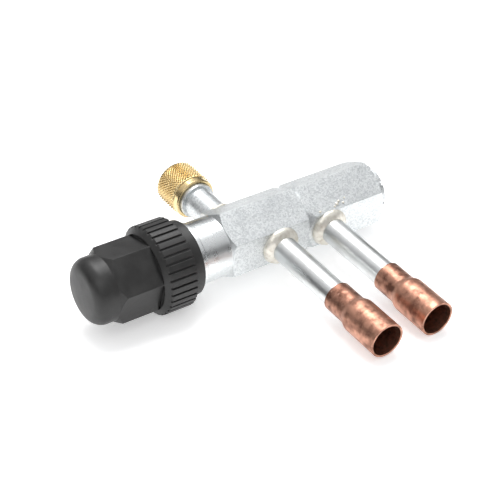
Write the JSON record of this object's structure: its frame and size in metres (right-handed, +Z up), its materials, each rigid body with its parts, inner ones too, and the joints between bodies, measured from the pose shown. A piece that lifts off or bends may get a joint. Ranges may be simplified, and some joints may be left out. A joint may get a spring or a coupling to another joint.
{
  "type": "refrigerant service valve",
  "caption": "Back-seating refrigerant service valve: hexagon-bar body, brazed tubes with copper sockets on one side, capped charging port opposite, stem under a screwed plastic cap.",
  "frame": {"origin": "centre of the flat tail face, on the stem axis", "axes": "+X along the stem axis from the stem cap to the tail, -Y along the two tubes to their open sockets, +Y along the charging port, +Z up"},
  "size_m": [0.1023, 0.095, 0.027],
  "materials": {
    "zinc_plated_steel": "zinc plated, fine crystalline spangle, satin",
    "plated_tube": "bright zinc plated drawn tube",
    "bare_steel": "turned, lightly oiled",
    "copper": "annealed copper, mottled oxide",
    "silver_braze": "rough silver braze",
    "brass": "bright turned brass",
    "seal_rubber": "moulded neoprene",
    "ptfe": "pressed packing",
    "black_nylon": "moulded, matte with slight sheen"
  },
  "bodies": {
    "valve": {"valve_body": "zinc_plated_steel", "seat_body": "zinc_plated_steel", "joint_gasket": "copper", "end_plug": "zinc_plated_steel", "inlet_tube": "plated_tube", "outlet_tube": "plated_tube", "inlet_adapter": "copper", "outlet_adapter": "copper", "inlet_braze": "silver_braze", "outlet_braze": "silver_braze", "port_braze": "silver_braze", "service_port": "zinc_plated_steel", "core_body": "brass", "core_spring": "bare_steel", "packing_washer": "bare_steel", "stem_packing": "ptfe", "gland_nut": "bare_steel"},
    "cap_seal": {"stem_cap_gasket": "seal_rubber"},
    "stem_cap": {"stem_cap": "black_nylon"},
    "port_cap_seal": {"port_cap_gasket": "seal_rubber"},
    "port_cap": {"port_cap": "brass"},
    "swivel_disc": {"stem_disc": "bare_steel"},
    "stem": {"stem": "bare_steel", "disc_retainer": "bare_steel"},
    "core_pin": {"core_pin": "brass", "core_seal": "seal_rubber"}
  },
  "joints": [
    {"name": "stem_cap_travel", "type": "slide", "parent": "valve", "child": "cap_seal", "axis": [-1, 0, 0], "range_m": [0, 0.012]},
    {"name": "stem_cap_turn", "type": "hinge", "parent": "cap_seal", "child": "stem_cap", "pos_m": [0, 0, 0], "axis": [-1, 0, 0], "range_deg": [0, 2880]},
    {"name": "port_cap_travel", "type": "slide", "parent": "valve", "child": "port_cap_seal", "axis": [0, 1, 0], "range_m": [0, 0.0089]},
    {"name": "port_cap_turn", "type": "hinge", "parent": "port_cap_seal", "child": "port_cap", "pos_m": [-0.0496, 0, 0], "axis": [0, 1, 0], "range_deg": [0, 2520]},
    {"name": "stem_travel", "type": "slide", "parent": "valve", "child": "swivel_disc", "axis": [1, 0, 0], "range_m": [0, 0.0088]},
    {"name": "stem_turn", "type": "hinge", "parent": "swivel_disc", "child": "stem", "pos_m": [0, 0, 0], "axis": [1, 0, 0], "range_deg": [0, 2534]},
    {"name": "core_pin_press", "type": "slide", "parent": "valve", "child": "core_pin", "axis": [0, -1, 0], "range_m": [0, 0.001], "stiffness_N_per_m": 300, "springref_m": -0.002, "deforming": ["core_spring"]}
  ],
  "couplings": [
    {"joint": "stem_cap_travel", "follows": "stem_cap_turn", "m_per_rad": 0.00023873},
    {"joint": "port_cap_travel", "follows": "port_cap_turn", "m_per_rad": 0.00020212},
    {"joint": "stem_travel", "follows": "stem_turn", "m_per_rad": 0.00019894}
  ]
}
